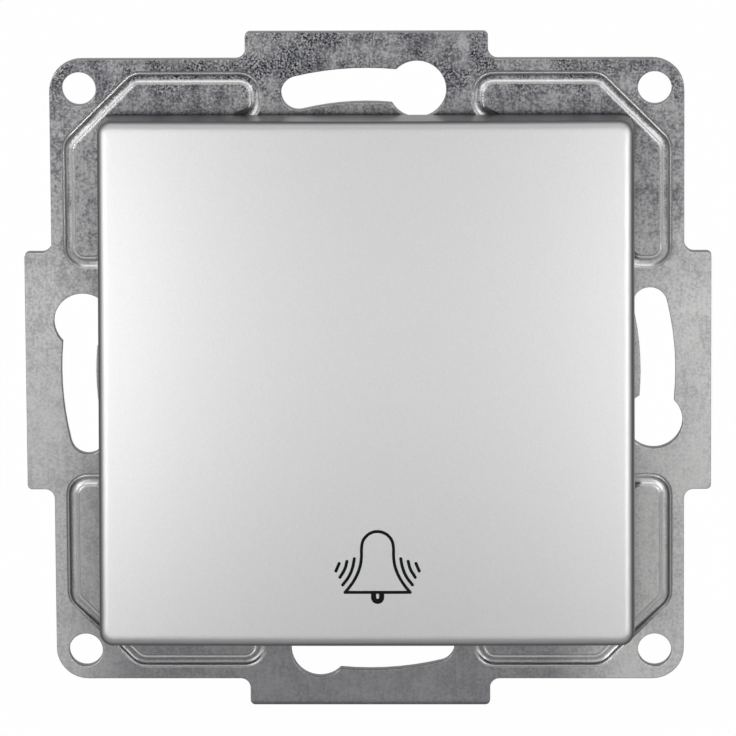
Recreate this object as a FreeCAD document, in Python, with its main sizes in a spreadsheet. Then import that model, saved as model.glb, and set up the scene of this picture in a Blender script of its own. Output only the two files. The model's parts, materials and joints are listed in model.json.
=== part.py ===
import FreeCAD, Part
import math
import os
import re
import Sketcher

# Flush doorbell push button: a zinc-plated fixing plate, a contact block behind and a rocking cap in front.
# Millimetres. X runs to the right, Z up, and the front faces -Y.
# The origin is the middle of the plate's back face, on the plane of the wall.

document = FreeCAD.newDocument("doorbell_push_button")
sheet = document.addObject("Spreadsheet::Sheet", "Sizes")

PLATE_SIZES = {
    "plateThick": 1.2,
    "plateSide": 65.4,
    "plateCorner": 3.3,
    "lugSpan": 71.0,
    "lugBreadth": 25.0,
    "lugRound": 0.5,
    "lugRoot": 1.0,
    "apertureSide": 39.5,
    "apertureCorner": 4.8,
    "cornerHoleSpacing": 59.3,
    "cornerHoleBore": 3.5,
    "boxScrewCircle": 60.0,
    "slotBreadth": 3.6,
    "slotEndAngle": 13.5,
    "entryBore": 6.0,
    "entryAngle": 10.0,
    "beadReach": 30.8,
    "beadChamferStart": 24.0,
    "beadTip": 11.5,
    "beadInnerRadius": 29.6,
    "beadBend": 1.6,
    "beadToolRadius": 0.72,
    "beadDepth": 0.45,
}

HOUSING_SIZES = {
    "housingSide": 44.0,
    "housingDepth": 23.0,
    "housingCorner": 7.0,
    "housingFloor": 1.6,
    "collarGap": 0.2,
    "channelWall": 2.0,
    "cavityCorner": 2.0,
    "coverSide": 43.0,
    "coverThick": 2.2,
    "coverCorner": 5.0,
    "screwReach": 15.8,
    "screwShank": 1.1,
    "screwHead": 2.0,
    "screwHeadTall": 1.0,
    "screwDepth": 8.0,
    "screwBossRadius": 2.5,
    "screwBossDepth": 10.0,
    "screwFreeGap": 0.15,
    "driverSlotBreadth": 0.6,
    "driverSlotDepth": 0.6,
    "pedestalRadius": 4.0,
    "pedestalTall": 4.4,
}

ROCKER_SIZES = {
    "pivotTall": 6.3,
    "restTilt": 7.0,
    "trunnionRadius": 1.5,
    "trunnionEndGap": 0.1,
    "runningGap": 0.05,
    "cheekInner": 17.6,
    "cheekOuter": 20.0,
    "cheekHalf": 2.9,
    "capBreadth": 55.2,
    "capTall": 55.1,
    "capFaceBreadth": 54.9,
    "capFaceTall": 53.8,
    "capTopReach": 1.4,
    "capBottomReach": 4.6,
    "capFaceReach": 5.4,
    "capCorner": 1.4,
    "capRim": 0.7,
    "capCrown": 0.9,
    "capWall": 1.8,
    "capFaceWall": 1.7,
    "cradleSide": 34.0,
    "cradleThick": 1.6,
    "cradleEar": 2.0,
    "cradleEarGap": 0.4,
    "noseRadius": 1.5,
    "noseReach": 0.6,
    "noseHalf": 2.5,
}

CONTACT_SIZES = {
    "plungerDrop": 11.0,
    "plungerRadius": 2.3,
    "plungerCollar": 3.4,
    "plungerCollarThick": 1.2,
    "plungerCollarGap": 0.3,
    "plungerRearRadius": 1.9,
    "plungerPin": 1.2,
    "plungerPinLong": 3.0,
    "bridgeSeat": 8.2,
    "bridgeThick": 0.8,
    "bridgeHalf": 7.2,
    "bridgeBreadth": 4.4,
    "tipReach": 5.6,
    "tipRadius": 1.4,
    "tipThick": 0.6,
    "contactSpare": 0.06,
    "stripThick": 0.8,
    "stripInner": 3.8,
    "stripBreadth": 6.0,
    "clampInset": 1.5,
    "clampBreadth": 7.0,
    "clampTall": 10.0,
    "wireBore": 1.6,
    "wireEntry": 1.9,
    "wireDepth": 7.0,
    "terminalSetback": 4.0,
    "terminalShank": 1.5,
    "terminalShankLong": 3.1,
    "terminalHead": 2.1,
    "terminalHeadTall": 2.0,
    "terminalFreeGap": 0.3,
    "springWire": 0.3,
    "springRadius": 1.95,
    "springTurns": 5.0,
    "springGap": 0.02,
}

CLAW_SIZES = {
    "clawScrewReach": 22.6,
    "clawScrewRadius": 1.5,
    "clawScrewHead": 2.4,
    "clawScrewHeadTall": 2.0,
    "clawScrewLong": 19.5,
    "clawHeadGap": 0.3,
    "channelHalf": 5.5,
    "channelFloor": 19.5,
    "nutSetback": 15.0,
    "nutThick": 3.2,
    "nutOuter": 24.6,
    "nutGap": 0.3,
    "clawPivotReach": 25.8,
    "clawPivotDepth": 1.6,
    "clawBarrel": 0.9,
    "clawApexReach": 21.5,
    "clawApexDepth": 8.4,
    "clawShoulderReach": 25.0,
    "clawTipReach": 27.6,
    "clawTipDepth": 21.0,
    "clawThick": 1.3,
    "clawHalf": 3.8,
    "clawSlotHalf": 2.1,
    "clawSlotFront": 2.6,
    "earInner": 4.2,
    "earThick": 2.1,
    "earReach": 27.2,
    "earDepth": 3.1,
}

ALL_SIZES = {**PLATE_SIZES, **HOUSING_SIZES, **ROCKER_SIZES, **CONTACT_SIZES, **CLAW_SIZES}

for row, (alias, number) in enumerate(ALL_SIZES.items(), start=1):
    sheet.set("A%d" % row, alias)
    sheet.set("B%d" % row, str(number))
    sheet.setAlias("B%d" % row, alias)
document.recompute()

# Places that follow from the driving sizes, written as formulas on their names.
PIVOT_Y = "-pivotTall"
COVER_FRONT = "-(plateThick + coverThick)"
SIN_TILT = "sin(restTilt * 1 deg)"
COS_TILT = "cos(restTilt * 1 deg)"
PLUNGER_TRAVEL = "(plungerDrop * %s - noseReach * (1 - %s))" % (SIN_TILT, COS_TILT)
PLUNGER_FRONT = "(-pivotTall - noseReach * %s - plungerDrop * %s + noseRadius + runningGap)" % (
    COS_TILT,
    SIN_TILT,
)
BRIDGE_BACK = "(bridgeSeat + bridgeThick)"
FIXED_TIP_FRONT = "(%s + tipThick + %s + contactSpare)" % (BRIDGE_BACK, PLUNGER_TRAVEL)
STRIP_FRONT = "(%s + tipThick)" % FIXED_TIP_FRONT
CLAMP_FRONT = "(%s + stripThick)" % STRIP_FRONT
CAVITY_SIDE = "(2 * (channelFloor - channelWall))"
CLAMP_REACH = "(%s / 2 - clampBreadth / 2 - clampInset)" % CAVITY_SIDE
CLAMP_BACK = "(housingDepth - housingFloor)"
TERMINAL_Y = "(%s - terminalSetback)" % CLAMP_BACK
CLAMP_BOTTOM = "(-plungerDrop - clampTall / 2)"
PEDESTAL_FRONT = "(%s - pedestalTall)" % CLAMP_BACK
CAP_INNER_FACE = "(capFaceWall - capFaceReach)"
CRADLE_BACK = "(%s + cradleThick)" % CAP_INNER_FACE
EAR_OUTER = "(cheekInner - cradleEarGap)"
SLOT_OUTER = "(boxScrewCircle / 2 + slotBreadth / 2)"
SLOT_INNER = "(boxScrewCircle / 2 - slotBreadth / 2)"

TURN_TO_AXIS = {
    "X": FreeCAD.Rotation(FreeCAD.Vector(0, 1, 0), 90),
    "Y": FreeCAD.Rotation(FreeCAD.Vector(1, 0, 0), -90),
    "Z": FreeCAD.Rotation(),
}
FRONT_VIEW = FreeCAD.Rotation(FreeCAD.Vector(1, 0, 0), 90)
SIDE_VIEW = FreeCAD.Rotation(FreeCAD.Vector(1, 1, 1), 120)
QUARTERS = ((1, 1), (-1, 1), (-1, -1), (1, -1))
finished = {}


def bound(formula):
    """Turn a formula on size names into an expression on the sheet."""

    def with_sheet(word):
        return "Sizes." + word[0] if word[0] in ALL_SIZES else word[0]

    return re.sub(r"[A-Za-z]+", with_sheet, str(formula))


def value_of(formula):
    """Give the number that a formula comes to with the sheet's present values."""
    result = sheet.evalExpression(bound(formula))
    return float(getattr(result, "Value", result))


def block(name, x, y, z):
    """A box between pairs of formulas."""
    box = document.addObject("Part::Box", name)
    for side, corner, (low, high) in (("Length", "x", x), ("Width", "y", y), ("Height", "z", z)):
        box.setExpression(side, bound("(%s) - (%s)" % (high, low)))
        box.setExpression("Placement.Base." + corner, bound(low))
    return box


def rod(name, axis, centre, along, radius):
    """A round bar along an axis, centred on the two other coordinates."""
    bar = document.addObject("Part::Cylinder", name)
    bar.setExpression("Radius", bound(radius))
    bar.setExpression("Height", bound("(%s) - (%s)" % (along[1], along[0])))
    bar.Placement = FreeCAD.Placement(FreeCAD.Vector(), TURN_TO_AXIS[axis])
    places = dict(zip([letter for letter in "XYZ" if letter != axis], centre))
    places[axis] = along[0]
    for letter, place in places.items():
        bar.setExpression("Placement.Base." + letter.lower(), bound(place))
    return bar


def join(name, pieces):
    union = document.addObject("Part::MultiFuse", name)
    union.Shapes = pieces
    union.Refine = True
    return union


def carve(name, base, tools):
    difference = document.addObject("Part::Cut", name)
    difference.Base = base
    difference.Tool = tools[0] if len(tools) == 1 else join(name + "_tools", tools)
    difference.Refine = True
    return difference


def group(name, pieces):
    """Several separate solids of one kind in one node."""
    several = document.addObject("Part::Compound", name)
    several.Links = pieces
    return several


def rounded_block(name, side, y, corner):
    """A square block about the Y axis with round corners."""
    half = "(%s) / 2" % side
    centre = "(%s - (%s))" % (half, corner)
    pieces = [
        block(name + "_wide", ("-" + half, half), y, ("-" + centre, centre)),
        block(name + "_tall", ("-" + centre, centre), y, ("-" + half, half)),
    ]
    for index, (right, up) in enumerate(QUARTERS):
        place = ("%d * %s" % (right, centre), "%d * %s" % (up, centre))
        pieces.append(rod("%s_corner%d" % (name, index), "Y", place, y, corner))
    return join(name, pieces)


def draw_outline(sketch, points):
    """Straight lines through points whose two coordinates are formulas."""
    first = sketch.GeometryCount
    places = [FreeCAD.Vector(value_of(across), value_of(up), 0) for across, up in points]
    count = len(places)
    for index in range(count):
        sketch.addGeometry(Part.LineSegment(places[index], places[(index + 1) % count]), False)
    for index in range(count):
        following = first + (index + 1) % count
        sketch.addConstraint(Sketcher.Constraint("Coincident", first + index, 2, following, 1))
    for index, point in enumerate(points):
        for kind, start, formula in zip(("DistanceX", "DistanceY"), places[index], point):
            number = sketch.addConstraint(Sketcher.Constraint(kind, -1, 1, first + index, 1, start))
            sketch.setExpression("Constraints[%d]" % number, bound(formula))


def draw_circle(sketch, centre, radius):
    """A circle whose centre and radius are formulas."""
    place = FreeCAD.Vector(value_of(centre[0]), value_of(centre[1]), 0)
    circle = sketch.addGeometry(Part.Circle(place, FreeCAD.Vector(0, 0, 1), value_of(radius)), False)
    for kind, start, formula in zip(("DistanceX", "DistanceY"), place, centre):
        number = sketch.addConstraint(Sketcher.Constraint(kind, -1, 1, circle, 3, start))
        sketch.setExpression("Constraints[%d]" % number, bound(formula))
    number = sketch.addConstraint(Sketcher.Constraint("Radius", circle, value_of(radius)))
    sketch.setExpression("Constraints[%d]" % number, bound(radius))


def body_sketch(body, plane, name):
    """A sketch on one of a body's own origin planes."""
    sketch = body.newObject("Sketcher::SketchObject", name)
    support = [feature for feature in body.Origin.OriginFeatures if feature.Role == plane][0]
    sketch.AttachmentSupport = [(support, "")]
    sketch.MapMode = "FlatFace"
    return sketch


def body_axis(body, role):
    return [feature for feature in body.Origin.OriginFeatures if feature.Role == role][0]


def free_sketch(name, y, points):
    """A sketch in a plane that faces the front, at a given depth."""
    sketch = document.addObject("Sketcher::SketchObject", name)
    sketch.Placement = FreeCAD.Placement(FreeCAD.Vector(), FRONT_VIEW)
    sketch.setExpression("Placement.Base.y", bound(y))
    draw_outline(sketch, points)
    return sketch


def rectangle(across, tall):
    """The corners of an upright rectangle about the middle."""
    return [("%d * (%s) / 2" % (right, across), "%d * (%s) / 2" % (up, tall)) for right, up in QUARTERS]


def edges_where(shape, test):
    return [number for number, edge in enumerate(shape.Edges, start=1) if test(edge)]


def runs_through(edge):
    """Whether an edge runs straight from front to back."""
    start, end = edge.Vertexes[0].Point, edge.Vertexes[-1].Point
    return abs(start.y - end.y) > max(abs(start.x - end.x), abs(start.z - end.z))


def body_fillet(body, feature, name, radius, test):
    document.recompute()
    numbers = edges_where(feature.Shape, test)
    fillet = body.newObject("PartDesign::Fillet", name)
    fillet.Base = (feature, ["Edge%d" % number for number in numbers])
    fillet.setExpression("Radius", bound(radius))
    return fillet


def revolve(name, points):
    """A body turned about the Y axis from a half profile of radius and depth."""
    body = document.addObject("PartDesign::Body", name)
    sketch = body_sketch(body, "XY_Plane", name + "_profile")
    draw_outline(sketch, points)
    turned = body.newObject("PartDesign::Revolution", name + "_turned")
    turned.Profile = sketch
    turned.ReferenceAxis = (sketch, ["V_Axis"])
    turned.Angle = 360
    body.Tip = turned
    return body


def finish(label, piece):
    piece.Label = label
    finished[label] = piece
    return piece


def plate_outline():
    """The square plate with a shallow lug in the middle of each side, corner by corner."""
    half, reach, lug = "plateSide / 2", "lugSpan / 2", "lugBreadth / 2"
    right_side = [(half, half), (half, lug), (reach, lug), (reach, "-" + lug), (half, "-" + lug)]
    bottom = [(half, "-" + half), (lug, "-" + half), (lug, "-" + reach), ("-" + lug, "-" + reach)]
    bottom.append(("-" + lug, "-" + half))
    left_side = [("-" + half, "-" + half), ("-" + half, "-" + lug), ("-" + reach, "-" + lug)]
    left_side += [("-" + reach, lug), ("-" + half, lug)]
    top = [("-" + half, half), ("-" + lug, half), ("-" + lug, reach), (lug, reach), (lug, half)]
    return right_side + bottom + left_side + top


def plate_body():
    """The stamped blank with its punched holes and curved keyhole slots."""
    body = document.addObject("PartDesign::Body", "plate_blank")
    sketch = body_sketch(body, "XZ_Plane", "plate_outline")
    draw_outline(sketch, plate_outline())
    pad = body.newObject("PartDesign::Pad", "plate_pad")
    pad.Profile = sketch
    pad.setExpression("Length", bound("plateThick"))
    half, reach, lug = value_of("plateSide / 2"), value_of("lugSpan / 2"), value_of("lugBreadth / 2")

    def at(edge, low, high):
        """Whether an edge through the plate stands at this pair of distances from the middle."""
        point = edge.Vertexes[0].Point
        sizes = sorted((abs(point.x), abs(point.z)))
        near = 0.01
        return runs_through(edge) and abs(sizes[0] - low) < near and abs(sizes[1] - high) < near

    fillet = body_fillet(body, pad, "plate_corners", "plateCorner", lambda edge: at(edge, half, half))
    fillet = body_fillet(body, fillet, "lug_corners", "lugRound", lambda edge: at(edge, lug, reach))
    fillet = body_fillet(body, fillet, "lug_roots", "lugRoot", lambda edge: at(edge, lug, half))

    window = body_sketch(body, "XZ_Plane", "aperture")
    draw_outline(window, rectangle("apertureSide", "apertureSide"))
    aperture = punch_through(body, window, "aperture_cut")
    inside = value_of("apertureSide / 2")
    body_fillet(body, aperture, "aperture_corners", "apertureCorner", lambda edge: at(edge, inside, inside))

    holes = body_sketch(body, "XZ_Plane", "punched_holes")
    for right, up in QUARTERS:
        place = ("%d * cornerHoleSpacing / 2" % right, "%d * cornerHoleSpacing / 2" % up)
        draw_circle(holes, place, "cornerHoleBore / 2")
    for side in (-1, 1):
        draw_circle(holes, ("%d * clawScrewReach" % side, "0"), "clawScrewRadius + runningGap")
    punch_through(body, holes, "punched")

    slot = body_sketch(body, "XY_Plane", "slot_section")
    behind, ahead = "plateThick", "-2 * plateThick"
    section = [(SLOT_INNER, behind), (SLOT_OUTER, behind), (SLOT_OUTER, ahead), (SLOT_INNER, ahead)]
    draw_outline(slot, section)
    start_turn = FreeCAD.Rotation(FreeCAD.Vector(0, 1, 0), value_of("entryAngle"))
    slot.AttachmentOffset = FreeCAD.Placement(FreeCAD.Vector(), start_turn)
    slot.setExpression("AttachmentOffset.Rotation.Angle", bound("entryAngle"))
    groove = body.newObject("PartDesign::Groove", "slot_sweep")
    groove.Profile = slot
    groove.ReferenceAxis = (slot, ["V_Axis"])
    groove.Reversed = True
    groove.setExpression("Angle", bound("entryAngle + slotEndAngle"))

    ends = body_sketch(body, "XZ_Plane", "slot_ends")
    circle = "boxScrewCircle / 2"
    entry = ("%s * cos(entryAngle * 1 deg)" % circle, "-%s * sin(entryAngle * 1 deg)" % circle)
    end = ("%s * cos(slotEndAngle * 1 deg)" % circle, "%s * sin(slotEndAngle * 1 deg)" % circle)
    draw_circle(ends, entry, "entryBore / 2")
    draw_circle(ends, end, "slotBreadth / 2")
    ends_cut = punch_through(body, ends, "slot_ends_cut")

    pattern = body.newObject("PartDesign::PolarPattern", "four_slots")
    pattern.Originals = [groove, ends_cut]
    pattern.Axis = (body_axis(body, "Y_Axis"), [""])
    pattern.Angle = 360
    pattern.Occurrences = len(QUARTERS)
    body.Tip = pattern
    return body


def punch_through(body, sketch, name):
    pocket = body.newObject("PartDesign::Pocket", name)
    pocket.Profile = sketch
    pocket.Type = "ThroughAll"
    pocket.Reversed = True
    return pocket


def bead_spine():
    """The closed path of one coined bead: two straight walls, a chamfer and an arc about the middle."""
    reach, start, tip = value_of("beadReach"), value_of("beadChamferStart"), value_of("beadTip")
    inner = value_of("beadInnerRadius")
    depth = -value_of("plateThick + beadToolRadius - beadDepth")
    arc_end = math.sqrt(inner**2 - tip**2)
    arc_middle = inner / math.sqrt(2)
    corners = [(tip, arc_end), (tip, reach), (start, reach), (reach, start), (reach, tip), (arc_end, tip)]
    points = [FreeCAD.Vector(x, depth, z) for x, z in corners]
    edges = [Part.LineSegment(first, second).toShape() for first, second in zip(points, points[1:])]
    arc = Part.Arc(points[-1], FreeCAD.Vector(arc_middle, depth, arc_middle), points[0])
    return Part.Wire(edges + [arc.toShape()])


def bead_tool():
    """The round-nosed valley that the coining die leaves along the spine, with its corners bent."""
    bend = value_of("beadBend")
    rounded = Part.Face(bead_spine()).makeOffset2D(-bend).makeOffset2D(bend)
    path = rounded.OuterWire
    edge = path.OrderedEdges[0]
    start = edge.FirstParameter
    circle = Part.Circle(edge.valueAt(start), edge.tangentAt(start), value_of("beadToolRadius"))
    return path.makePipeShell([Part.Wire(circle.toShape())], True, True)


def make_support_plate():
    """The punched blank with a coined bead round the middle of each quarter."""
    tools = []
    shape = bead_tool()
    for quarter in range(len(QUARTERS)):
        tool = document.addObject("Part::Feature", "bead%d" % quarter)
        tool.Shape = shape
        turn = FreeCAD.Rotation(FreeCAD.Vector(0, 1, 0), quarter * 360 / len(QUARTERS))
        tool.Placement = FreeCAD.Placement(FreeCAD.Vector(), turn)
        tools.append(tool)
    return finish("support_plate", carve("plate", plate_body(), tools))


def make_housing():
    """The contact block: a deep square tub with round corners that sits in the wall box."""
    shell = rounded_block("tub", "housingSide", ("0", "housingDepth"), "housingCorner")
    collar_side = "(apertureSide - 2 * collarGap)"
    collar_y = ("-plateThick", "cavityCorner")
    collar = rounded_block("collar", collar_side, collar_y, "apertureCorner - collarGap")
    outside = join("tub_outside", [shell, collar])
    cavity = rounded_block("cavity", CAVITY_SIDE, ("-2 * plateThick", CLAMP_BACK), "cavityCorner")
    channels = []
    for side in (-1, 1):
        reach = sorted(("%d * channelFloor" % side, "%d * housingSide" % side), key=value_of)
        y = ("0", "2 * housingDepth")
        channels.append(block("channel%d" % side, reach, y, ("-channelHalf", "channelHalf")))
    hollow = carve("tub_hollow", outside, [cavity] + channels)

    pedestal_y = (PEDESTAL_FRONT, CLAMP_BACK)
    added = [rod("spring_pedestal", "Y", ("0", "-plungerDrop"), pedestal_y, "pedestalRadius")]
    drilled = []
    for index, (right, up) in enumerate(QUARTERS):
        place = ("%d * screwReach" % right, "%d * screwReach" % up)
        added.append(rod("boss%d" % index, "Y", place, ("-plateThick", "screwBossDepth"), "screwBossRadius"))
        hole = ("-2 * plateThick", "screwDepth + screwShank")
        drilled.append(rod("pilot%d" % index, "Y", place, hole, "screwShank + runningGap"))
        ear_x = sorted(("%d * channelFloor" % right, "%d * earReach" % right), key=value_of)
        ear_z = sorted(("%d * earInner" % up, "%d * (earInner + earThick)" % up), key=value_of)
        added.append(block("ear%d" % index, ear_x, ("0", "earDepth"), ear_z))
    ear_end = "(earInner + earThick + clawBarrel)"
    for side in (-1, 1):
        pivot = ("%d * clawPivotReach" % side, "clawPivotDepth")
        bore = "clawBarrel + runningGap"
        drilled.append(rod("ear_bore%d" % side, "Z", pivot, ("-" + ear_end, ear_end), bore))
        wire = ("%d * %s" % (side, CLAMP_REACH), "-plungerDrop")
        through = (CLAMP_BACK, "2 * housingDepth")
        drilled.append(rod("wire_entry%d" % side, "Y", wire, through, "wireEntry"))
        driver = ("%d * %s" % (side, CLAMP_REACH), TERMINAL_Y)
        access = ("-housingSide", "-%s / 2 + cavityCorner / 2" % CAVITY_SIDE)
        drilled.append(rod("driver_way%d" % side, "Z", driver, access, "terminalHead + terminalFreeGap"))
    return finish("base_housing", carve("housing", join("housing_full", [hollow] + added), drilled))


def make_cover():
    """The moulded cover that closes the tub and carries the two bearing cheeks."""
    slab = rounded_block("cover_slab", "coverSide", (COVER_FRONT, "-plateThick"), "coverCorner")
    through = ("2 * (%s)" % COVER_FRONT, "0")
    holes = [rod("plunger_guide", "Y", ("0", "-plungerDrop"), through, "plungerRadius + runningGap")]
    for index, (right, up) in enumerate(QUARTERS):
        place = ("%d * screwReach" % right, "%d * screwReach" % up)
        holes.append(rod("cover_hole%d" % index, "Y", place, through, "screwShank + screwFreeGap"))
    for side in (-1, 1):
        place = ("%d * clawScrewReach" % side, "0")
        holes.append(rod("head_notch%d" % side, "Y", place, through, "clawScrewHead + clawHeadGap"))
    pieces = [carve("cover_cut", slab, holes)]
    bores = []
    for side in (-1, 1):
        x = sorted(("%d * cheekInner" % side, "%d * cheekOuter" % side), key=value_of)
        foot = (PIVOT_Y, "%s + coverThick / 2" % COVER_FRONT)
        pieces.append(block("cheek%d" % side, x, foot, ("-cheekHalf", "cheekHalf")))
        pieces.append(rod("cheek_round%d" % side, "X", (PIVOT_Y, "0"), x, "cheekHalf"))
        bores.append(rod("bearing%d" % side, "X", (PIVOT_Y, "0"), x, "trunnionRadius + runningGap"))
    return finish("mechanism_cover", carve("cover", join("cover_full", pieces), bores))


def slotted_screw(name, axis, centre, under_head, shank, head):
    """A cheese-head screw that points along the axis. Shank and head are each a radius and a length."""
    top = "%s - (%s)" % (under_head, head[1])
    pieces = [
        rod(name + "_shank", axis, centre, (under_head, "%s + (%s)" % (under_head, shank[1])), shank[0]),
        rod(name + "_head", axis, centre, (top, under_head), head[0]),
    ]
    breadth = ("%s - driverSlotBreadth / 2" % centre[0], "%s + driverSlotBreadth / 2" % centre[0])
    length = ("%s - %s" % (centre[1], head[0]), "%s + %s" % (centre[1], head[0]))
    spans = dict(zip([letter for letter in "XYZ" if letter != axis], (breadth, length)))
    spans[axis] = (top, top + " + driverSlotDepth")
    slot = block(name + "_slot", spans["X"], spans["Y"], spans["Z"])
    return carve(name, join(name + "_solid", pieces), [slot])


def make_cover_screws():
    screws = []
    long = "screwDepth - (%s)" % COVER_FRONT
    for index, (right, up) in enumerate(QUARTERS):
        place = ("%d * screwReach" % right, "%d * screwReach" % up)
        shank = ("screwShank", long)
        head = ("screwHead", "screwHeadTall")
        screws.append(slotted_screw("cover_screw%d" % index, "Y", place, COVER_FRONT, shank, head))
    return finish("cover_screws", group("screws", screws))


def make_claw(side, word):
    """One fixing claw with its screw and nut. The left set is the right one's mirror image."""
    shoulder_y = "nutSetback"
    profile = [
        ("clawPivotReach - clawBarrel / 2", "clawPivotDepth"),
        ("clawApexReach", "clawApexDepth"),
        ("clawShoulderReach", shoulder_y),
        ("clawTipReach - clawThick", "clawTipDepth"),
        ("clawTipReach", "clawTipDepth - clawThick / 2"),
        ("clawShoulderReach + clawThick", shoulder_y),
        ("clawApexReach + clawThick", "clawApexDepth"),
        ("clawPivotReach + clawBarrel / 2", "clawPivotDepth"),
    ]
    body = document.addObject("PartDesign::Body", "claw_leg_" + word)
    sketch = body_sketch(body, "XY_Plane", "claw_profile_" + word)
    draw_outline(sketch, [("%d * (%s)" % (side, x), y) for x, y in profile])
    pad = body.newObject("PartDesign::Pad", "claw_pad_" + word)
    pad.Profile = sketch
    pad.Midplane = True
    pad.setExpression("Length", bound("2 * clawHalf"))
    body.Tip = pad
    pivot = ("%d * clawPivotReach" % side, "clawPivotDepth")
    ear_end = "(earInner + earThick)"
    barrel = rod("claw_barrel_" + word, "Z", pivot, ("-" + ear_end, ear_end), "clawBarrel")
    slot_x = sorted(("%d * channelFloor" % side, "%d * clawTipReach" % side), key=value_of)
    slot_y = ("clawSlotFront", "nutSetback - runningGap")
    slot = block("claw_slot_" + word, slot_x, slot_y, ("-clawSlotHalf", "clawSlotHalf"))
    leg = carve("claw_forked_" + word, body, [slot])
    finish("claw_" + word, join("claw_whole_" + word, [leg, barrel]))

    centre = ("%d * clawScrewReach" % side, "0")
    nut_x = sorted(("%d * (channelFloor + nutGap)" % side, "%d * nutOuter" % side), key=value_of)
    nut_z = ("-(channelHalf - nutGap)", "channelHalf - nutGap")
    nut = block("nut_block_" + word, nut_x, ("nutSetback", "nutSetback + nutThick"), nut_z)
    thread = rod("nut_thread_" + word, "Y", centre, ("0", "housingDepth"), "clawScrewRadius + runningGap")
    finish("claw_nut_" + word, carve("nut_" + word, nut, [thread]))

    shank = ("clawScrewRadius", "plateThick + clawScrewLong")
    head = ("clawScrewHead", "clawScrewHeadTall")
    screw = slotted_screw("claw_bolt_" + word, "Y", centre, "-plateThick", shank, head)
    finish("claw_screw_" + word, screw)


def place_on_rocker(piece):
    """Set a piece that was drawn about the pivot at the pivot, leaning back by the rest tilt."""
    lean = FreeCAD.Rotation(FreeCAD.Vector(-1, 0, 0), value_of("restTilt"))
    piece.Placement = FreeCAD.Placement(FreeCAD.Vector(), lean)
    piece.setExpression("Placement.Base.y", bound(PIVOT_Y))
    piece.setExpression("Placement.Rotation.Angle", bound("restTilt"))
    return piece


def drafted_block(name, back, front):
    """A loft between two upright rectangles: each is a depth, a breadth and a height."""
    sections = []
    for word, (y, across, tall) in (("back", back), ("front", front)):
        sections.append(free_sketch("%s_%s" % (name, word), y, rectangle(across, tall)))
    loft = document.addObject("Part::Loft", name)
    loft.Sections = sections
    loft.Solid = True
    loft.Ruled = True
    return loft


def rounded_edges(name, source, radius, test):
    document.recompute()
    numbers = edges_where(source.Shape, test)
    fillet = document.addObject("Part::Fillet", name)
    fillet.Base = source
    fillet.Edges = [(number, value_of(radius), value_of(radius)) for number in numbers]
    return fillet


def skirt_trim():
    """What the slanting back edge of the cap leaves off: the skirt is shallow at the top and deep below."""
    middle = "(capTopReach + capBottomReach) / 2"
    rise = "(capBottomReach - capTopReach)"
    points = [
        ("%s - %s" % (middle, rise), "capTall"),
        ("%s + %s" % (middle, rise), "-capTall"),
        ("%s + %s + capTall" % (middle, rise), "-capTall"),
        ("%s + %s + capTall" % (middle, rise), "capTall"),
    ]
    sketch = document.addObject("Sketcher::SketchObject", "skirt_line")
    sketch.Placement = FreeCAD.Placement(FreeCAD.Vector(), SIDE_VIEW)
    draw_outline(sketch, points)
    trim = document.addObject("Part::Extrusion", "skirt_trim")
    trim.Base = sketch
    trim.DirMode = "Normal"
    trim.Solid = True
    trim.Symmetric = True
    trim.setExpression("LengthFwd", bound("2 * capBreadth"))
    return trim


def make_cap():
    """The rocking cap: drafted walls, a face crowned about the upright axis and a hollow back."""
    solid = drafted_block(
        "cap_solid",
        ("capBottomReach", "capBreadth", "capTall"),
        ("-capFaceReach", "capFaceBreadth", "capFaceTall"),
    )
    crown_radius = "((capFaceBreadth / 2)^2 + capCrown^2) / (2 * capCrown)"
    crown_place = ("0", "-capFaceReach + " + crown_radius)
    crown = rod("cap_crown", "Z", crown_place, ("-capTall", "capTall"), crown_radius)
    crowned = document.addObject("Part::MultiCommon", "cap_crowned")
    crowned.Shapes = [solid, crown]
    cornered = rounded_edges("cap_cornered", crowned, "capCorner", runs_through)
    front = value_of("-capFaceReach + capCrown")
    near = 0.05

    def on_rim(edge):
        return all(vertex.Point.y < front + near for vertex in edge.Vertexes)

    rimmed = rounded_edges("cap_rimmed", cornered, "capRim", on_rim)
    hollow = drafted_block(
        "cap_hollow",
        ("capBottomReach", "capBreadth - 2 * capWall", "capTall - 2 * capWall"),
        (CAP_INNER_FACE, "capFaceBreadth - 2 * capWall", "capFaceTall - 2 * capWall"),
    )
    return finish("rocker_cap", place_on_rocker(carve("cap", rimmed, [hollow, skirt_trim()])))


def make_cradle():
    """The carrier inside the cap, with its trunnions and the nose that works the plunger."""
    pieces = [rounded_block("cradle_slab", "cradleSide", (CAP_INNER_FACE, CRADLE_BACK), "cavityCorner")]
    ear_inner = "(%s - cradleEar)" % EAR_OUTER
    for side in (-1, 1):
        x = sorted(("%d * %s" % (side, ear_inner), "%d * %s" % (side, EAR_OUTER)), key=value_of)
        pieces.append(block("cradle_ear%d" % side, x, (CAP_INNER_FACE, "0"), ("-cheekHalf", "cheekHalf")))
        pieces.append(rod("cradle_ear_round%d" % side, "X", ("0", "0"), x, "cheekHalf"))
        end = "(cheekOuter - trunnionEndGap)"
        pin = sorted(("%d * %s" % (side, ear_inner), "%d * %s" % (side, end)), key=value_of)
        pieces.append(rod("trunnion%d" % side, "X", ("0", "0"), pin, "trunnionRadius"))
    nose_x = ("-noseHalf", "noseHalf")
    nose_z = ("-(plungerDrop + noseRadius)", "-(plungerDrop - noseRadius)")
    pieces.append(block("nose_stem", nose_x, (CAP_INNER_FACE, "-noseReach"), nose_z))
    pieces.append(rod("nose_tip", "X", ("-noseReach", "-plungerDrop"), nose_x, "noseRadius"))
    return finish("rocker_cradle", place_on_rocker(join("cradle", pieces)))


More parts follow.
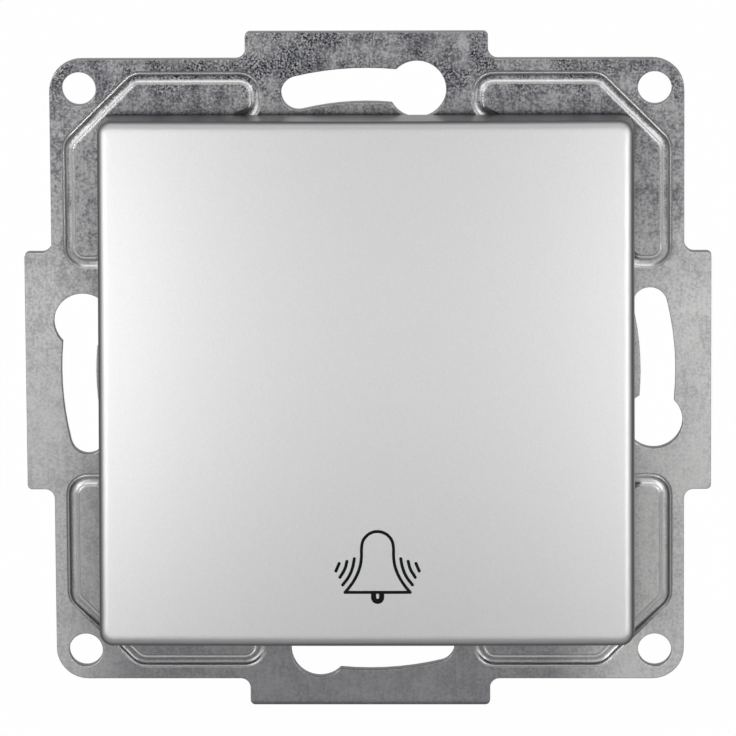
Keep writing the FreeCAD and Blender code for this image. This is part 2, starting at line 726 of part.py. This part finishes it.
def make_plunger():
    """The push rod, turned about its own axis: stem, collar, rear stem and spring pin."""
    collar_front = "(plungerCollarGap - plateThick)"
    collar_back = "(%s + plungerCollarThick)" % collar_front
    pin_end = "(%s + plungerPinLong)" % BRIDGE_BACK
    points = [
        ("0", PLUNGER_FRONT),
        ("plungerRadius", PLUNGER_FRONT),
        ("plungerRadius", collar_front),
        ("plungerCollar", collar_front),
        ("plungerCollar", collar_back),
        ("plungerRearRadius", collar_back),
        ("plungerRearRadius", "bridgeSeat"),
        ("plungerPin", "bridgeSeat"),
        ("plungerPin", pin_end),
        ("0", pin_end),
    ]
    plunger = revolve("plunger", points)
    plunger.setExpression("Placement.Base.z", bound("-plungerDrop"))
    return finish("contact_plunger", plunger)


def make_contacts():
    """The moving bridge, the two fixed strips and the silver tips on them."""
    z = ("-plungerDrop - bridgeBreadth / 2", "-plungerDrop + bridgeBreadth / 2")
    bar = block("bridge_bar", ("-bridgeHalf", "bridgeHalf"), ("bridgeSeat", BRIDGE_BACK), z)
    eye = rod("bridge_eye", "Y", ("0", "-plungerDrop"), ("0", CLAMP_BACK), "plungerPin + runningGap")
    finish("contact_bridge", carve("bridge", bar, [eye]))
    moving, fixed = [], []
    for side in (-1, 1):
        place = ("%d * tipReach" % side, "-plungerDrop")
        moving_span = (BRIDGE_BACK, BRIDGE_BACK + " + tipThick")
        moving.append(rod("moving_tip%d" % side, "Y", place, moving_span, "tipRadius"))
        fixed.append(rod("fixed_tip%d" % side, "Y", place, (FIXED_TIP_FRONT, STRIP_FRONT), "tipRadius"))
    finish("bridge_contact_tips", group("moving_tips", moving))
    finish("fixed_contact_tips", group("fixed_tips", fixed))


def make_terminal(side, word):
    """One fixed strip with its clamp block and clamp screw."""
    outer = CLAMP_REACH + " + clampBreadth / 2"
    strip_x = sorted(("%d * stripInner" % side, "%d * (%s)" % (side, outer)), key=value_of)
    strip_z = ("-plungerDrop - stripBreadth / 2", "-plungerDrop + stripBreadth / 2")
    finish("fixed_contact_" + word, block("strip_" + word, strip_x, (STRIP_FRONT, CLAMP_FRONT), strip_z))

    centre = "%d * %s" % (side, CLAMP_REACH)
    x = ("%s - clampBreadth / 2" % centre, "%s + clampBreadth / 2" % centre)
    z = (CLAMP_BOTTOM, CLAMP_BOTTOM + " + clampTall")
    clamp = block("clamp_block_" + word, x, (CLAMP_FRONT, CLAMP_BACK), z)
    wire_span = (CLAMP_BACK + " - wireDepth", "housingDepth")
    wire = rod("clamp_wire_" + word, "Y", (centre, "-plungerDrop"), wire_span, "wireBore")
    thread_span = (CLAMP_BOTTOM + " - clampTall", "-plungerDrop")
    thread_bore = "terminalShank + runningGap"
    thread = rod("clamp_thread_" + word, "Z", (centre, TERMINAL_Y), thread_span, thread_bore)
    finish("terminal_clamp_" + word, carve("clamp_" + word, clamp, [wire, thread]))

    shank = ("terminalShank", "terminalShankLong")
    head = ("terminalHead", "terminalHeadTall")
    screw = slotted_screw("clamp_screw_" + word, "Z", (centre, TERMINAL_Y), CLAMP_BOTTOM, shank, head)
    finish("terminal_screw_" + word, screw)


def make_return_spring():
    """The coil between the bridge and the pedestal in the tub's floor."""
    wire, radius = value_of("springWire"), value_of("springRadius")
    start = value_of(BRIDGE_BACK + " + springWire + springGap")
    height = value_of(PEDESTAL_FRONT + " - springWire - springGap") - start
    helix = Part.makeHelix(height / value_of("springTurns"), height, radius)
    section = Part.Wire(Part.Circle(FreeCAD.Vector(radius, 0, 0), FreeCAD.Vector(0, 1, 0), wire).toShape())
    coil = Part.Wire(helix.Edges).makePipeShell([section], True, True)
    spring = document.addObject("Part::Feature", "coil")
    spring.Shape = coil
    place = FreeCAD.Vector(0, start, -value_of("plungerDrop"))
    spring.Placement = FreeCAD.Placement(place, TURN_TO_AXIS["Y"])
    return finish("return_spring", spring)


def check_and_write():
    """Stop on any failed object or bad solid, then write one STEP file for each piece."""
    document.recompute()
    failed = [item.Name for item in document.Objects if {"Invalid", "Error"} & set(item.State)]
    if failed:
        raise RuntimeError("these objects failed: " + ", ".join(failed))
    os.makedirs("parts", exist_ok=True)
    for label, piece in finished.items():
        shape = piece.Shape
        if shape.isNull() or not shape.isValid() or not shape.Solids:
            raise RuntimeError("bad solid: " + label)
        shape.exportStep("parts/%s.step" % label)
        box = shape.BoundBox
        spans = "x %.2f %.2f  y %.2f %.2f  z %.2f %.2f" % (
            box.XMin, box.XMax, box.YMin, box.YMax, box.ZMin, box.ZMax)
        print("%-24s %2d solids %9.2f mm3  %s" % (label, len(shape.Solids), shape.Volume, spans))


make_support_plate()
make_housing()
make_cover()
make_cover_screws()
make_cap()
make_cradle()
make_plunger()
make_contacts()
for side, word in ((-1, "left"), (1, "right")):
    make_terminal(side, word)
    make_claw(side, word)
make_return_spring()
check_and_write()
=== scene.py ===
import json
import math
import bmesh
import bpy
from mathutils import Matrix, Vector


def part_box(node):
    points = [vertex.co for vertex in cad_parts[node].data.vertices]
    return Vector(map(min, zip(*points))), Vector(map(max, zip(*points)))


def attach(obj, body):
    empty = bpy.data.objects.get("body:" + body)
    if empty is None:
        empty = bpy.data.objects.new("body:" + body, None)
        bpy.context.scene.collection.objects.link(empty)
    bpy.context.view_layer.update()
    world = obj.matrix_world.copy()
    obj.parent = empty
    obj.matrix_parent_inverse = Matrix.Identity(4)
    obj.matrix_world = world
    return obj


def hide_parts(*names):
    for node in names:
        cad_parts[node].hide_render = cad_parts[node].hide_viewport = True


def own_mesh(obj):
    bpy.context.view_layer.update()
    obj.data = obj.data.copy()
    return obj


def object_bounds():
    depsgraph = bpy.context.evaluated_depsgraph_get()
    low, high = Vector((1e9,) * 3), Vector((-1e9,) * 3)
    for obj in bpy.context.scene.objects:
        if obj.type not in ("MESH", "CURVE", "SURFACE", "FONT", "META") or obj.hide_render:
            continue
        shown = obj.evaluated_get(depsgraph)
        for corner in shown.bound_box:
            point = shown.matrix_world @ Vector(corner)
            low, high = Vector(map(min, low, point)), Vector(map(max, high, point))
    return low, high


# Flush doorbell push button. Metres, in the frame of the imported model: X right, Z up, the front faces -Y.
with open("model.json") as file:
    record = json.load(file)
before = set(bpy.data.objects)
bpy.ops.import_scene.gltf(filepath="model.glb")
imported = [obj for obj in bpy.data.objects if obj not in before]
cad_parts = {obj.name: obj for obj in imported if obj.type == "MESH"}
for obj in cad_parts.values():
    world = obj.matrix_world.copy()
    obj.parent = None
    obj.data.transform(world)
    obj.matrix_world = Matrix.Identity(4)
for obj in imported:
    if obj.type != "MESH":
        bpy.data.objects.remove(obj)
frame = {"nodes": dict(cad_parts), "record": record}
cadBox = [list(corner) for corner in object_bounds()]
nodes = frame["nodes"]
mm = 0.001


# Helpers that the finishes and the pieces share.

def newFinish(name, colour, metallic, roughness, **sockets):
    material = bpy.data.materials.new(name)
    material.use_nodes = True
    shader = material.node_tree.nodes["Principled BSDF"]
    shader.inputs["Base Color"].default_value = (*colour, 1)
    shader.inputs["Metallic"].default_value = metallic
    shader.inputs["Roughness"].default_value = roughness
    for socket, value in sockets.items():
        shader.inputs[socket.replace("_", " ")].default_value = value
    return material, shader


def link(material, output, target):
    material.node_tree.links.new(output, target)


def plug(material, value, target):
    # Another node's output is linked, and a plain value is set.
    if isinstance(value, bpy.types.NodeSocket):
        link(material, value, target)
    else:
        target.default_value = value


def addNode(material, kind, inputs=None, **settings):
    node = material.node_tree.nodes.new(kind)
    for setting, value in settings.items():
        setattr(node, setting, value)
    for socket, value in (inputs or {}).items():
        plug(material, value, node.inputs[socket])
    return node


def place(material):
    return addNode(material, "ShaderNodeTexCoord").outputs["Object"]


def noise(material, cell, detail=2.0, stretch=(1, 1, 1), rough=0.5):
    # A noise whose blobs are about one cell across, in metres.
    spread = addNode(material, "ShaderNodeMapping", {"Vector": place(material), "Scale": stretch})
    inputs = {"Vector": spread.outputs["Vector"], "Scale": 1 / cell, "Detail": detail, "Roughness": rough}
    return addNode(material, "ShaderNodeTexNoise", inputs).outputs["Fac"]


def maths(material, operation, first, second=0.0):
    return addNode(material, "ShaderNodeMath", {0: first, 1: second}, operation=operation).outputs[0]


def dot(material, first, second):
    node = addNode(material, "ShaderNodeVectorMath", {0: first, 1: second}, operation="DOT_PRODUCT")
    return node.outputs["Value"]


def facing(material, direction):
    # 1 where the surface looks along the direction either way, 0 where it stands across it.
    normal = addNode(material, "ShaderNodeTexCoord").outputs["Normal"]
    return maths(material, "ABSOLUTE", dot(material, normal, direction))


def softNormal(material, radius):
    return addNode(material, "ShaderNodeBevel", {"Radius": radius}, samples=8).outputs["Normal"]


def ramp(material, value, low, high, start=0.0, end=1.0):
    # Maps low..high onto start..end and holds it there.
    inputs = {"Value": value, "From Min": low, "From Max": high, "To Min": start, "To Max": end}
    return addNode(material, "ShaderNodeMapRange", inputs).outputs["Result"]


def mixColour(material, share, first, second):
    node = addNode(material, "ShaderNodeMix", {0: share}, data_type="RGBA")
    for socket, colour in ((6, first), (7, second)):
        plug(material, (*colour, 1) if isinstance(colour, tuple) else colour, node.inputs[socket])
    return node.outputs[2]


def mixValue(material, share, first, second):
    return addNode(material, "ShaderNodeMix", {0: share, 2: first, 3: second}, data_type="FLOAT").outputs[0]


def blendSum(material, *layers):
    # The weighted sum of several patterns.
    total = 0.0
    for pattern, weight in layers:
        total = maths(material, "ADD", maths(material, "MULTIPLY", pattern, weight), total)
    return total


def addBump(material, shader, height, distance, strength=1.0, normal=None):
    inputs = {"Height": height, "Distance": distance, "Strength": strength}
    if normal:
        inputs["Normal"] = normal
    bump = addNode(material, "ShaderNodeBump", inputs)
    link(material, bump.outputs["Normal"], shader.inputs["Normal"])


def toObject(name, mesh, material):
    data = bpy.data.meshes.new(name)
    mesh.to_mesh(data)
    mesh.free()
    data.materials.append(material)
    piece = bpy.data.objects.new(name, data)
    bpy.context.scene.collection.objects.link(piece)
    return piece


# Zinc-plated fixing plate. A pattern is its cell, its detail and, for some, its stretch and roughness.
# A span is the values that a pattern is taken from, and then what it is mapped onto.
zinc = {
    "colour": (0.36, 0.36, 0.365),
    "dull": (0.165, 0.165, 0.18),
    "bright": (0.52, 0.52, 0.525),
    "grain": (0.26 * mm, 4.0),
    "cloud": (1.4 * mm, 3.0),
    "wash": (8 * mm, 2.0),
    "streak": (0.26 * mm, 2.0, (1, 1, 0.12)),
    "mottleShares": (0.42, 0.24, 0.20, 0.14),
    "mottleSpan": (0.42, 0.58),
    "calm": (0.31, 0.31, 0.325),
    "calmBelow": (14 * mm, -8 * mm, 0.0, 0.6),
    # painted highlight on the side lugs and the lower corners: its colour and where it falls
    "paintedSheen": (0.86, 0.86, 0.85),
    "paintedSheenMiddle": 3 * mm,
    "paintedSheenBeyond": (22 * mm, 29 * mm),
    "paintedSheenBelow": (18 * mm, 8 * mm),
    "paintedSheenMottle": (0.40, 0.60, 0.45, 0.95),
    "paintedSheenAcross": (-20 * mm, 20 * mm, 0.84, 1.0),
    # colour of the dark specks, also used as painted shade in the bead creases
    "stainAndCreaseShade": (0.012, 0.012, 0.026),
    "stainHeight": (25 * mm, 31 * mm, 0.08, 1.0),
    "stainPatch": (3.0 * mm, 3.0),
    "stainPatchSpan": (0.38, 0.58, 0.15, 1.0),
    "stainCell": (0.24 * mm, 5.0, (1, 1, 1), 0.7),
    "stainCellSpan": (0.46, 0.54),
    # light colour on coined slopes and edge lips: partly burnished metal, partly painted highlight
    "burnishAndHighlight": (0.93, 0.93, 0.92),
    "coinedSlope": (0.985, 0.86),
    "coinedShare": 0.85,
    "coinedRoughness": 0.2,
    # reach and span of the painted shade in the bead creases
    "creaseShadeReach": 0.7 * mm,
    "creaseShadeSpan": (0.45, 0.93),
    "lip": 0.16 * mm,
    "lipHighlightSpan": (0.995, 0.95, 0.0, 0.5),
    # near-black colour painted along punched edges as shade
    "edgeOutlineShade": (0.012, 0.012, 0.014),
    "edgeSpan": (0.93, 0.86),
    "edgeSlope": (0.25, 0.15),
    "roughness": (0.44, 0.32),
    "grainBump": (0.006 * mm, 0.5),
}


def makeZincPlate(settings):
    material, shader = newFinish("zincPlate", settings["colour"], 0.9, 0.36)
    patterns = [noise(material, *settings[name]) for name in ("grain", "cloud", "wash", "streak")]
    mottle = blendSum(material, *zip(patterns, settings["mottleShares"]))
    mottled = ramp(material, mottle, *settings["mottleSpan"])
    colour = mixColour(material, mottled, settings["dull"], settings["bright"])
    # The lower half is calmer and a little darker. The side lugs and the lower corners get a painted
    # highlight, patchy and stronger to the right.
    where = addNode(material, "ShaderNodeSeparateXYZ", {0: place(material)}).outputs
    calm = ramp(material, where["Z"], *settings["calmBelow"])
    colour = mixColour(material, calm, colour, settings["calm"])
    aside = maths(material, "ABSOLUTE", maths(material, "ADD", where["X"], settings["paintedSheenMiddle"]))
    sideSheen = ramp(material, aside, *settings["paintedSheenBeyond"])
    limits = ((where["Z"], "paintedSheenBelow"), (mottle, "paintedSheenMottle"), (where["X"], "paintedSheenAcross"))
    for pattern, span in limits:
        sideSheen = maths(material, "MULTIPLY", sideSheen, ramp(material, pattern, *settings[span]))
    colour = mixColour(material, sideSheen, colour, settings["paintedSheen"])
    # Dark specks gather in patches near the top.
    stained = ramp(material, noise(material, *settings["stainCell"]), *settings["stainCellSpan"])
    high = ramp(material, where["Z"], *settings["stainHeight"])
    patches = ramp(material, noise(material, *settings["stainPatch"]), *settings["stainPatchSpan"])
    for pattern in (high, patches):
        stained = maths(material, "MULTIPLY", stained, pattern)
    colour = mixColour(material, stained, colour, settings["stainAndCreaseShade"])
    # Coined slopes get a lighter colour by their tilt, partly burnish and partly painted highlight, and
    # painted shade darkens the foot of each bead.
    level = facing(material, (0, -1, 0))
    coined = ramp(material, level, *settings["coinedSlope"])
    slopeHighlight = maths(material, "MULTIPLY", coined, settings["coinedShare"])
    colour = mixColour(material, slopeHighlight, colour, settings["burnishAndHighlight"])
    # Painted shade: the colour goes to the dark speck colour where ambient occlusion finds a crease.
    reach = {"Distance": settings["creaseShadeReach"]}
    openness = addNode(material, "ShaderNodeAmbientOcclusion", reach, samples=8).outputs["AO"]
    colour = mixColour(material, ramp(material, openness, *settings["creaseShadeSpan"]), settings["stainAndCreaseShade"], colour)
    # Punched edges get a thin painted highlight just inside the edge, and painted shade makes the edge
    # itself and the edge-on walls near black.
    soft = softNormal(material, settings["lip"])
    near = dot(material, soft, addNode(material, "ShaderNodeNewGeometry").outputs["True Normal"])
    colour = mixColour(material, ramp(material, near, *settings["lipHighlightSpan"]), colour, settings["burnishAndHighlight"])
    for pattern, span in ((near, "edgeSpan"), (level, "edgeSlope")):
        outlineShare = ramp(material, pattern, *settings[span])
        colour = mixColour(material, outlineShare, colour, settings["edgeOutlineShade"])
    link(material, colour, shader.inputs["Base Color"])
    rough = ramp(material, mottle, *settings["mottleSpan"], *settings["roughness"])
    rough = mixValue(material, coined, rough, settings["coinedRoughness"])
    link(material, rough, shader.inputs["Roughness"])
    addBump(material, shader, patterns[0], *settings["grainBump"], soft)
    return material


# Silver lacquer of the cap.
lacquer = {
    "colour": (0.63, 0.63, 0.635),
    "shade": (0.58, 0.58, 0.585),
    "flake": (0.14 * mm, 2.0),
    "flakeSpan": (0.3, 0.7),
    "flakeRoughness": (0.2, 0.8, 0.31, 0.37),
    "flakeBump": (0.003 * mm, 0.5),
    "edge": 0.9 * mm,
    # darker colours painted on the rounded edges and side walls as shade
    "rimShade": (0.53, 0.53, 0.533),
    "edgeSpan": (0.997, 0.985),
    "wallShade": (0.14, 0.14, 0.142),
    "wallSpan": (0.94, 0.66),
    "faceTilt": 7.0,
    "crown": 0.75,
}


def makeLacquer(settings):
    material, shader = newFinish("silverLacquer", settings["colour"], 0.9, 0.34,
                                 Coat_Weight=0.2, Coat_Roughness=0.25)
    flakes = noise(material, *settings["flake"])
    flecked = ramp(material, flakes, *settings["flakeSpan"])
    colour = mixColour(material, flecked, settings["shade"], settings["colour"])
    # The rounded edges and the side walls get painted shade: the colour darkens where the surface turns
    # away from the face's direction.
    tilt = math.radians(settings["faceTilt"])
    soft = softNormal(material, settings["edge"])
    frontFacing = dot(material, soft, (0, -math.cos(tilt), math.sin(tilt)))
    for span, shadeKey in (("edgeSpan", "rimShade"), ("wallSpan", "wallShade")):
        turned = ramp(material, frontFacing, *settings[span])
        colour = mixColour(material, turned, colour, settings[shadeKey])
    link(material, colour, shader.inputs["Base Color"])
    link(material, ramp(material, flakes, *settings["flakeRoughness"]), shader.inputs["Roughness"])
    # The face is a little crowned up and down too, with this radius in metres.
    high = addNode(material, "ShaderNodeSeparateXYZ", {0: place(material)}).outputs["Z"]
    dome = maths(material, "MULTIPLY", maths(material, "POWER", high, 2.0), -0.5 / settings["crown"])
    inputs = {"Height": dome, "Distance": 1.0, "Strength": 1.0, "Normal": soft}
    crowned = addNode(material, "ShaderNodeBump", inputs).outputs["Normal"]
    addBump(material, shader, flakes, *settings["flakeBump"], crowned)
    return material


# Moulded plastics and the other metals: what they share here, and each one's colour below.
plastic = {
    "speckle": (0.25 * mm, 4.0),
    "broad": (7.5 * mm, 2.0),
    "darker": 0.86,
    "darkShare": 0.22,
    "roughnessEachWay": 0.06,
    "bump": (0.012 * mm, 0.7),
}
metal = {
    "streak": (0.2 * mm, 3.0),
    "broad": (2.4 * mm, 2.0),
    "darker": 0.72,
    "broadSpan": (0.35, 0.7),
    "smoother": 0.08,
    "rougher": 0.1,
    "bump": (0.005 * mm, 0.6),
}
patternSpan = (0.3, 0.7)


def makePlastic(name, colour, roughness, settings=plastic):
    material, shader = newFinish(name, colour, 0.0, roughness, IOR=1.5)
    speckle = noise(material, *settings["speckle"])
    broad = ramp(material, noise(material, *settings["broad"]), *patternSpan)
    share = maths(material, "MULTIPLY", broad, settings["darkShare"])
    darker = tuple(settings["darker"] * part for part in colour)
    link(material, mixColour(material, share, colour, darker), shader.inputs["Base Color"])
    spread = settings["roughnessEachWay"]
    rough = ramp(material, speckle, *patternSpan, roughness - spread, roughness + spread)
    link(material, rough, shader.inputs["Roughness"])
    addBump(material, shader, speckle, *settings["bump"])
    return material


def makeMetal(name, colour, roughness, drawn=(1, 1, 1), settings=metal):
    material, shader = newFinish(name, colour, 1.0, roughness)
    streaks = noise(material, *settings["streak"], drawn)
    share = ramp(material, noise(material, *settings["broad"]), *settings["broadSpan"])
    darker = tuple(settings["darker"] * part for part in colour)
    link(material, mixColour(material, share, colour, darker), shader.inputs["Base Color"])
    low, high = roughness - settings["smoother"], roughness + settings["rougher"]
    link(material, ramp(material, streaks, *patternSpan, low, high), shader.inputs["Roughness"])
    addBump(material, shader, streaks, *settings["bump"])
    return material


finishes = {
    "zinc_plated_steel": makeZincPlate(zinc),
    "silver_lacquer": makeLacquer(lacquer),
    "housing_plastic": makePlastic("tubPlastic", (0.60, 0.59, 0.56), 0.42),
    "cover_plastic": makePlastic("coverPlastic", (0.035, 0.035, 0.038), 0.45),
    "cradle_plastic": makePlastic("cradlePlastic", (0.70, 0.69, 0.66), 0.40),
    "plunger_plastic": makePlastic("plungerPlastic", (0.42, 0.05, 0.03), 0.35),
    "contact_brass": makeMetal("stampedBrass", (0.72, 0.50, 0.20), 0.28, (1, 1, 8)),
    "contact_silver": makeMetal("contactSilver", (0.83, 0.82, 0.80), 0.22),
    "screw_steel": makeMetal("screwSteel", (0.55, 0.55, 0.56), 0.30, (1, 6, 1)),
    "claw_steel": makeMetal("clawSteel", (0.46, 0.46, 0.48), 0.34, (1, 1, 5)),
    "spring_steel": makeMetal("springSteel", (0.50, 0.50, 0.52), 0.25),
}
for part in frame["record"]["subparts"]:
    nodes[part["node"]].data.materials[0] = finishes[part["material_slot"]]
print("finishes done")


# Bell pictogram on the cap: one black line with a clapper below and three sound lines on each side.
# Places are millimetres on the cap's face, from the middle of the bell's base line.
bell = {
    "ink": (0.004, 0.004, 0.0045),
    "inkGrain": (0.05 * mm, 2.0),
    "inkRoughness": (0.5, 0.7),
    "inkBump": (0.002 * mm, 0.5),
    "line": 0.33,
    "clapperLine": 0.53,
    "proud": 0.02,
    "base": (1.17, -21.35),
    "baseHalf": 3.34,
    "side": [(3.32, 0.02), (2.83, 0.62), (2.39, 1.27), (2.03, 1.99), (1.78, 2.72), (1.655, 3.59)],
    # radius, height of the centre, first angle, last angle, points
    "dome": (1.63, 4.63, 0, 180, 9),
    "clapper": (0.41, -0.52, 0, -180, 7),
    "clapperTop": -0.15,
    "waves": [
        [(2.38, 3.46), (2.56, 2.57), (2.95, 1.62), (3.57, 0.77)],
        [(3.14, 3.19), (3.36, 2.40), (3.86, 1.55)],
        [(3.94, 2.97), (4.27, 2.20)],
    ],
}
capPlace = {"pivot": 6.3, "tilt": 7.0, "faceReach": 5.408, "crown": 419.06}


def makeInk(settings):
    material, shader = newFinish("printedInk", settings["ink"], 0.0, 0.6, Specular_IOR_Level=0.1)
    grain = noise(material, *settings["inkGrain"])
    rough = ramp(material, grain, *patternSpan, *settings["inkRoughness"])
    link(material, rough, shader.inputs["Roughness"])
    addBump(material, shader, grain, *settings["inkBump"])
    return material


def arcPoints(radius, centreZ, start, end, count):
    turns = [math.radians(start + (end - start) * step / (count - 1)) for step in range(count)]
    return [(radius * math.cos(turn), centreZ + radius * math.sin(turn)) for turn in turns]


def inkLine(mesh, points, width):
    # A thin line with round ends that runs smoothly through the points.
    curve = bpy.data.curves.new("inkPath", "CURVE")
    curve.dimensions = "3D"
    curve.bevel_depth = width / 2
    curve.bevel_resolution = 3
    curve.use_fill_caps = True
    spline = curve.splines.new("BEZIER")
    spline.resolution_u = 8
    spline.bezier_points.add(len(points) - 1)
    for point, (x, z) in zip(spline.bezier_points, points):
        point.co = (x, 0, z)
        point.handle_left_type = "AUTO"
        point.handle_right_type = "AUTO"
    line = bpy.data.objects.new("inkPath", curve)
    bpy.context.scene.collection.objects.link(line)
    bpy.context.view_layer.update()
    tube = bpy.data.meshes.new_from_object(line.evaluated_get(bpy.context.evaluated_depsgraph_get()))
    mesh.from_mesh(tube)
    bpy.data.objects.remove(line)
    for x, z in (points[0], points[-1]):
        bmesh.ops.create_uvsphere(mesh, u_segments=16, v_segments=8, radius=width / 2,
                                  matrix=Matrix.Translation((x, 0, z)))


def mirrored(points):
    return [(-x, z) for x, z in points]


def makeBell(settings, cap):
    mesh = bmesh.new()
    line, half = settings["line"], settings["baseHalf"]
    rightSide = settings["side"]
    leftSide = mirrored(reversed(rightSide))
    inkLine(mesh, rightSide + arcPoints(*settings["dome"]) + leftSide, line)
    inkLine(mesh, [(-half, 0), (half, 0)], line)
    clapperEnd = (settings["clapper"][0], settings["clapperTop"])
    clapper = [clapperEnd] + arcPoints(*settings["clapper"]) + mirrored([clapperEnd])
    inkLine(mesh, clapper, settings["clapperLine"])
    for wave in settings["waves"]:
        inkLine(mesh, wave, line)
        inkLine(mesh, mirrored(wave), line)
    baseX, baseZ = settings["base"]
    bmesh.ops.scale(mesh, vec=(1, 2 * settings["proud"] / line, 1), verts=mesh.verts)
    bmesh.ops.translate(mesh, vec=(baseX, 0, baseZ), verts=mesh.verts)
    for vertex in mesh.verts:
        # The face is a slice of a wide cylinder about the upright axis.
        vertex.co.y += cap["crown"] - math.sqrt(cap["crown"] ** 2 - vertex.co.x ** 2) - cap["faceReach"]
    lean = Matrix.Rotation(math.radians(-cap["tilt"]), 4, "X")
    stand = Matrix.Translation((0, -cap["pivot"], 0))
    bmesh.ops.transform(mesh, matrix=Matrix.Scale(mm, 4) @ stand @ lean, verts=mesh.verts)
    piece = toObject("bell_pictogram", mesh, makeInk(settings))
    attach(piece, "rocker")


makeBell(bell, capPlace)
print("pictogram done")


# Return spring: a coil with closed ends.
spring = {
    "wire": 0.3 * mm,
    "wireSides": 12,
    "turns": 5,
    "closedPitch": 0.62 * mm,
    "stepsPerTurn": 32,
    "pedestal": 17.0 * mm,
    "bridgeBack": 9.0 * mm,
}


def makeSpring(settings):
    low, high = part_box("return_spring")
    wire, steps, closedPitch = settings["wire"], settings["stepsPerTurn"], settings["closedPitch"]
    middleX, middleZ = (low[0] + high[0]) / 2, (low[2] + high[2]) / 2
    openTurns = settings["turns"] - 2
    openPitch = (high[1] - low[1] - 2 * wire - 2 * closedPitch) / openTurns
    mesh = bmesh.new()
    ring = bmesh.ops.create_circle(mesh, segments=settings["wireSides"], radius=wire)["verts"]
    bmesh.ops.translate(mesh, vec=(high[0] - wire, low[1] + wire, middleZ), verts=ring)
    last = ring + list({edge for vertex in ring for edge in vertex.link_edges})
    for turns, pitch in ((1, closedPitch), (openTurns, openPitch), (1, closedPitch)):
        last = bmesh.ops.spin(mesh, geom=last, cent=(middleX, 0, middleZ), axis=(0, 1, 0),
                              dvec=(0, pitch / steps, 0), angle=math.tau * turns, steps=steps * turns,
                              use_merge=False)["geom_last"]
    for face in mesh.faces:
        face.smooth = True
    bmesh.ops.holes_fill(mesh, edges=[edge for edge in mesh.edges if edge.is_boundary], sides=0)
    bmesh.ops.recalc_face_normals(mesh, faces=mesh.faces)
    piece = toObject("return_coil", mesh, finishes["spring_steel"])
    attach(piece, "base")
    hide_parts("return_spring")
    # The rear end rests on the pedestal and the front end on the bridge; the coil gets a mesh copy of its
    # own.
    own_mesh(piece)


makeSpring(spring)
print("spring done")


# Floor, lamps and camera.
studio = {
    "floorSize": 8.0,
    "floorGap": 0.05 * mm,
    "floorGlow": 0.985,
    "floorColour": (0.80, 0.80, 0.80),
    "floorInMetal": 0.387,
    "world": 0.70,
    # name: place, width, height, power, each aimed at the button
    "lamps": {
        "leftSoftbox": ((-0.30, -0.36, 0.06), 0.22, 0.40, 0.30),
        "rightSoftbox": ((0.30, -0.36, 0.06), 0.22, 0.40, 0.30),
        "leftStrip": ((-0.17, -0.42, 0.03), 0.08, 0.16, 0.195),
        "rightStrip": ((0.17, -0.42, 0.03), 0.08, 0.16, 0.182),
        "topSoftbox": ((0.0, -0.20, 0.45), 0.55, 0.30, 0.20),
        "lowStrip": ((0.0, -0.60, 0.035), 0.50, 0.05, 0.095),
    },
}


def makeFloor(settings):
    mesh = bmesh.new()
    bmesh.ops.create_grid(mesh, x_segments=1, y_segments=1, size=settings["floorSize"] / 2)
    bmesh.ops.translate(mesh, vec=(0, 0, cadBox[0][2] - settings["floorGap"]), verts=mesh.verts)
    # The camera sees white, metal sees the same floor at a plainer strength, and the shadow stays.
    material, shader = newFinish("paleFloor", settings["floorColour"], 0.0, 0.9)
    rays = addNode(material, "ShaderNodeLightPath").outputs
    direct = maths(material, "MAXIMUM", rays["Is Camera Ray"], rays["Is Transmission Ray"])
    glow = maths(material, "MULTIPLY", direct, settings["floorGlow"])
    glow = maths(material, "MAXIMUM", glow, rays["Is Glossy Ray"])
    strength = mixValue(material, rays["Is Glossy Ray"], 1.0, settings["floorInMetal"])
    white = addNode(material, "ShaderNodeEmission", {"Color": (1, 1, 1, 1), "Strength": strength})
    mix = addNode(material, "ShaderNodeMixShader", {0: glow, 1: shader.outputs[0], 2: white.outputs[0]})
    link(material, mix.outputs[0], material.node_tree.nodes["Material Output"].inputs["Surface"])
    toObject("floor", mesh, material)


def makeLamps(settings):
    for name, (where, width, height, power) in settings["lamps"].items():
        lamp = bpy.data.lights.new(name, "AREA")
        lamp.shape = "RECTANGLE"
        lamp.size = width
        lamp.size_y = height
        lamp.energy = power
        box = bpy.data.objects.new(name, lamp)
        box.location = where
        box.rotation_euler = (-Vector(where)).to_track_quat("-Z", "Y").to_euler()
        bpy.context.scene.collection.objects.link(box)
    world = bpy.data.worlds.new("studioAir")
    world.use_nodes = True
    air = world.node_tree.nodes["Background"]
    air.inputs["Color"].default_value = (1, 1, 1, 1)
    air.inputs["Strength"].default_value = settings["world"]
    bpy.context.scene.world = world


# Angles in degrees. Framing moves the camera aside and up from where the angles put it.
view = {
    "elevation": 11.3,
    "azimuth": 1.57,
    "roll": -0.37,
    "distance": 0.865,
    "target": (0.0, -0.0012, 0.0),
    "framing": (-0.028 * mm, 0.313 * mm),
    "lens": 408.4,
    "clip": (0.01, 20),
}


def makeCamera(settings):
    height, turn, roll = (math.radians(settings[key]) for key in ("elevation", "azimuth", "roll"))
    back = Vector((math.sin(turn) * math.cos(height), -math.cos(turn) * math.cos(height), math.sin(height)))
    level = Vector((math.cos(turn), math.sin(turn), 0))
    upright = back.cross(level)
    right = level * math.cos(roll) + upright * math.sin(roll)
    up = upright * math.cos(roll) - level * math.sin(roll)
    aside, above = settings["framing"]
    camera = bpy.data.cameras.new("photoCamera")
    camera.lens = settings["lens"]
    camera.clip_start, camera.clip_end = settings["clip"]
    eye = bpy.data.objects.new("photoCamera", camera)
    turned = Matrix((right, up, back)).transposed().to_4x4()
    spot = Vector(settings["target"]) + back * settings["distance"] + right * aside + up * above
    eye.matrix_world = Matrix.Translation(spot) @ turned
    bpy.context.scene.collection.objects.link(eye)
    bpy.context.scene.camera = eye


makeFloor(studio)
makeLamps(studio)
makeCamera(view)
bpy.context.scene.view_settings.view_transform = "Standard"
print("studio done")
